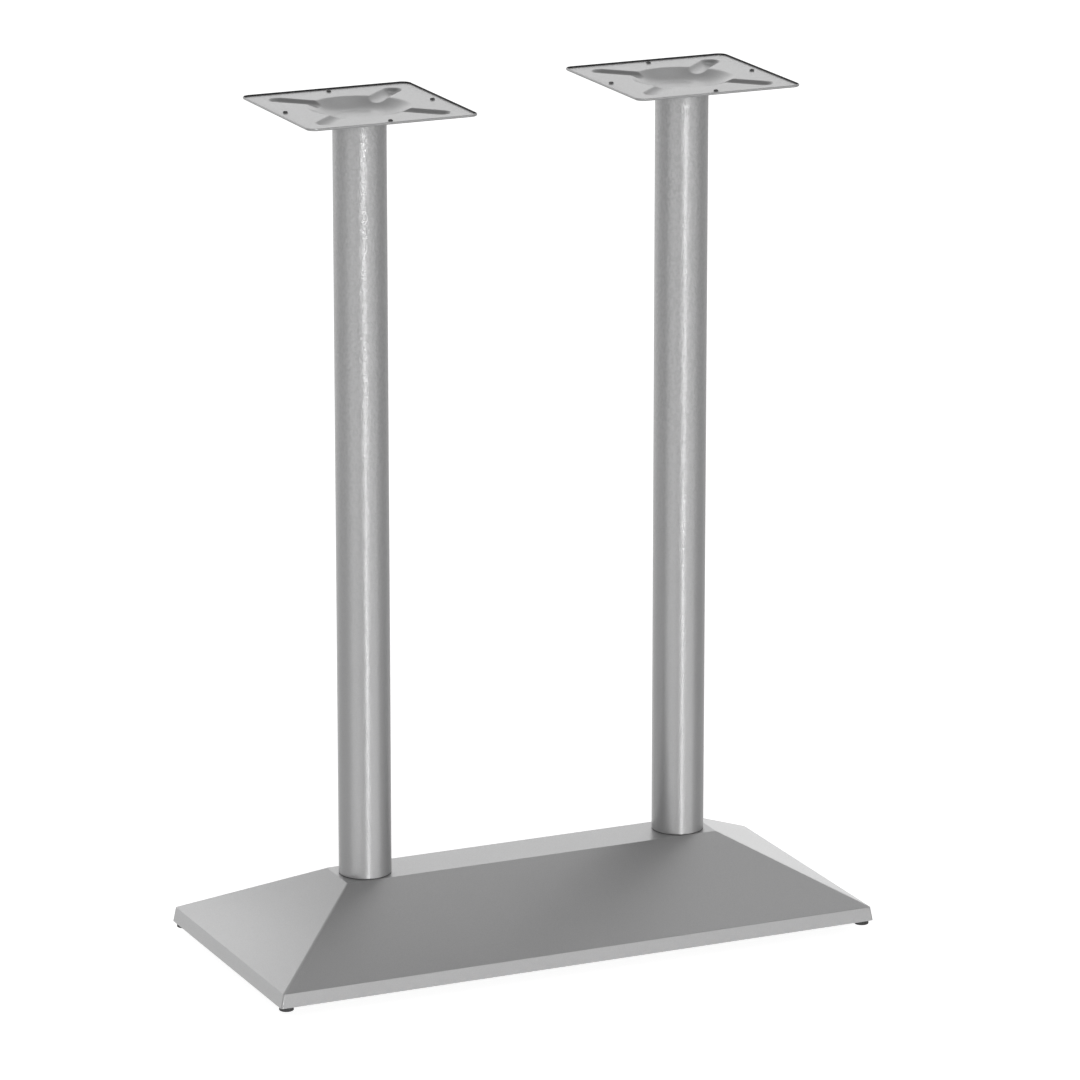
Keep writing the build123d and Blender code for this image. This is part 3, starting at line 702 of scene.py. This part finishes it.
def floor():
    """Plain pale floor that shows only to the camera and only from above."""
    mesh = bpy.data.meshes.new("floor")
    corners = [
        (x * FLOOR_SIZE, y * FLOOR_SIZE, -FLOOR_DROP) for x, y in ((-1, -1), (1, -1), (1, 1), (-1, 1))
    ]
    mesh.from_pydata(corners, [], [(0, 1, 2, 3)])
    material = bpy.data.materials.new("floor")
    material.use_nodes = True
    tree = material.node_tree
    shader = next(n for n in tree.nodes if n.type == "BSDF_PRINCIPLED")
    output = next(n for n in tree.nodes if n.type == "OUTPUT_MATERIAL")
    shader.inputs["Base Color"].default_value = (FLOOR_TONE, FLOOR_TONE, FLOOR_TONE, 1)
    shader.inputs["Roughness"].default_value = 0.9
    shader.inputs["Specular IOR Level"].default_value = 0.2
    glow = tree.nodes.new("ShaderNodeEmission")
    glow.inputs["Strength"].default_value = FLOOR_GLOW
    both = tree.nodes.new("ShaderNodeAddShader")
    # from below the floor lets the view through, so that the underside can be looked at
    clear = tree.nodes.new("ShaderNodeBsdfTransparent")
    facing = tree.nodes.new("ShaderNodeNewGeometry")
    choice = tree.nodes.new("ShaderNodeMixShader")
    tree.links.new(shader.outputs[0], both.inputs[0])
    tree.links.new(glow.outputs[0], both.inputs[1])
    tree.links.new(facing.outputs["Backfacing"], choice.inputs[0])
    tree.links.new(both.outputs[0], choice.inputs[1])
    tree.links.new(clear.outputs[0], choice.inputs[2])
    tree.links.new(choice.outputs[0], output.inputs["Surface"])
    mesh.materials.append(material)
    plane = bpy.data.objects.new("floor", mesh)
    bpy.context.scene.collection.objects.link(plane)
    # only the camera sees the floor: the soft boxes below the horizon light the paint from there
    plane.visible_glossy = plane.visible_diffuse = False
    plane.visible_transmission = plane.visible_shadow = False


floor()

# --- studio light ----------------------------------------------------------------
VIEW_AZIMUTH = -24.37      # of the camera, in degrees
SKY = 0.56                 # even light from all round
BACKDROP = 1.05            # the plain paper behind, as the camera sees it
SOFTBOXES = (
    # degrees: azimuth to the right of the camera's, elevation, half width, half height, soft edge;
    # then radiance added to the sky's
    (17, 2, 2.0, 21, 2.2, 11.5),        # tall narrow lamp: the line of light down the columns
    (47, -24, 20, 14, 6, 0.62),         # right of the camera
    (-32, -28, 22, 18, 14, 0.65),       # left of the camera
    (178, 14, 26, 10, 9, 0.98),         # wall of light behind
    (180, 88, 60, 21, 11, -0.36),       # darker straight above
    (153, 61, 14, 11, 7, 0.56),         # the base's front slope
    (-160, 31, 14, 8, 8, 0.36),         # its left slope
    (178, -12, 12, 9, 6, 0.9),          # its right slope
    (-126, -1, 14, 8, 6, 1.05),         # the left band
    (-150, -14, 8, 7, 5, 0.40),         # the columns' left edges
    (48, 7, 14, 6, 5, 0.15),            # the front band
    (103, -16, 22, 14, 12, -0.16),      # the columns' right edges, darker
)


def studio():
    """Surroundings of plain soft boxes, fixed round the object."""
    world = bpy.data.worlds.new("studio")
    bpy.context.scene.world = world
    world.use_nodes = True
    tree = world.node_tree
    place = tree.nodes.new("ShaderNodeTexCoord").outputs["Generated"]

    def calc(kind, first, second):
        node = tree.nodes.new("ShaderNodeMath")
        node.operation = kind
        for socket, value in zip(node.inputs, (first, second)):
            if isinstance(value, (int, float)):
                socket.default_value = value
            else:
                tree.links.new(value, socket)
        return node.outputs[0]

    def along(axis):
        """How far the direction of view points along this axis."""
        node = tree.nodes.new("ShaderNodeVectorMath")
        node.operation = "DOT_PRODUCT"
        tree.links.new(place, node.inputs[0])
        node.inputs[1].default_value = axis
        return node.outputs["Value"]

    def window(angle, half, soft):
        """1 within half degrees of the middle, 0 outside, with a soft edge."""
        node = tree.nodes.new("ShaderNodeMapRange")
        node.interpolation_type = "SMOOTHSTEP"
        tree.links.new(calc("ABSOLUTE", angle, 0), node.inputs["Value"])
        node.inputs["From Min"].default_value = math.radians(half - soft)
        node.inputs["From Max"].default_value = math.radians(half + soft)
        node.inputs["To Min"].default_value, node.inputs["To Max"].default_value = 1.0, 0.0
        return node.outputs["Result"]

    total = SKY
    for azimuth, elevation, half_width, half_height, soft, radiance in SOFTBOXES:
        a, e = math.radians(VIEW_AZIMUTH + azimuth), math.radians(elevation)
        middle = Vector((math.sin(a) * math.cos(e), -math.cos(a) * math.cos(e), math.sin(e)))
        across = Vector((math.cos(a), math.sin(a), 0.0))
        upward = middle.cross(across)
        ahead = along(middle)
        side = window(calc("ARCTAN2", along(across), ahead), half_width, soft)
        upright = calc("ARCTAN2", along(upward), ahead)
        tall = window(upright, half_height, min(soft, half_height))
        box = calc("MULTIPLY", side, tall)
        total = calc("ADD", total, calc("MULTIPLY", box, radiance))
    sky = next(n for n in tree.nodes if n.type == "BACKGROUND")
    seen = tree.nodes.new("ShaderNodeLightPath").outputs["Is Camera Ray"]
    hidden = calc("MULTIPLY", total, calc("SUBTRACT", 1.0, seen))
    total = calc("ADD", hidden, calc("MULTIPLY", seen, BACKDROP))
    sky.inputs["Color"].default_value = (1, 1, 1, 1)
    tree.links.new(total, sky.inputs["Strength"])


studio()

# metres
LAMP_PLACE = (-0.60, 0.68, 0.41)
LAMP_AIM = (-0.38, 0.0, 0.03)
LAMP_SIZE = (0.40, 0.30)
LAMP_RADIANCE = 0.15       # before the narrow spread, which makes it brighter
LAMP_SPREAD = 64           # degrees


def rear_lamp():
    """A small lamp behind the left end, for the sheen on the base's left slope."""
    data = bpy.data.lights.new("rear_left", "AREA")
    data.shape = "RECTANGLE"
    data.size, data.size_y = LAMP_SIZE
    data.energy = LAMP_RADIANCE * math.pi * LAMP_SIZE[0] * LAMP_SIZE[1]
    data.spread = math.radians(LAMP_SPREAD)
    thing = bpy.data.objects.new("rear_left", data)
    thing.location = LAMP_PLACE
    away = Vector(LAMP_PLACE) - Vector(LAMP_AIM)
    thing.rotation_euler = away.to_track_quat("Z", "Y").to_euler()
    thing.visible_camera = False
    bpy.context.scene.collection.objects.link(thing)


rear_lamp()

CAMERA_PLACE = (-3.2207, -7.1635, 2.7001)   # metres
CAMERA_PITCH = 15.515      # degrees down
CAMERA_LENS, SENSOR = 212.3, 36.0   # millimetres

camera_data = bpy.data.cameras.new("camera")
camera = bpy.data.objects.new("camera", camera_data)
bpy.context.scene.collection.objects.link(camera)
camera_data.sensor_width = SENSOR
camera_data.lens = CAMERA_LENS
camera_data.clip_start, camera_data.clip_end = 0.1, 200.0
camera_data.dof.use_dof = False
camera.location = CAMERA_PLACE
yaw, pitch = math.radians(-VIEW_AZIMUTH), math.radians(CAMERA_PITCH)
forward = Vector(
    (math.sin(yaw) * math.cos(pitch), math.cos(yaw) * math.cos(pitch), -math.sin(pitch))
)
camera.rotation_euler = forward.to_track_quat("-Z", "Y").to_euler()
bpy.context.scene.camera = camera

view = bpy.context.scene.view_settings
view.view_transform = "Standard"
view.look = "None"
view.exposure = 0.0
view.gamma = 1.0
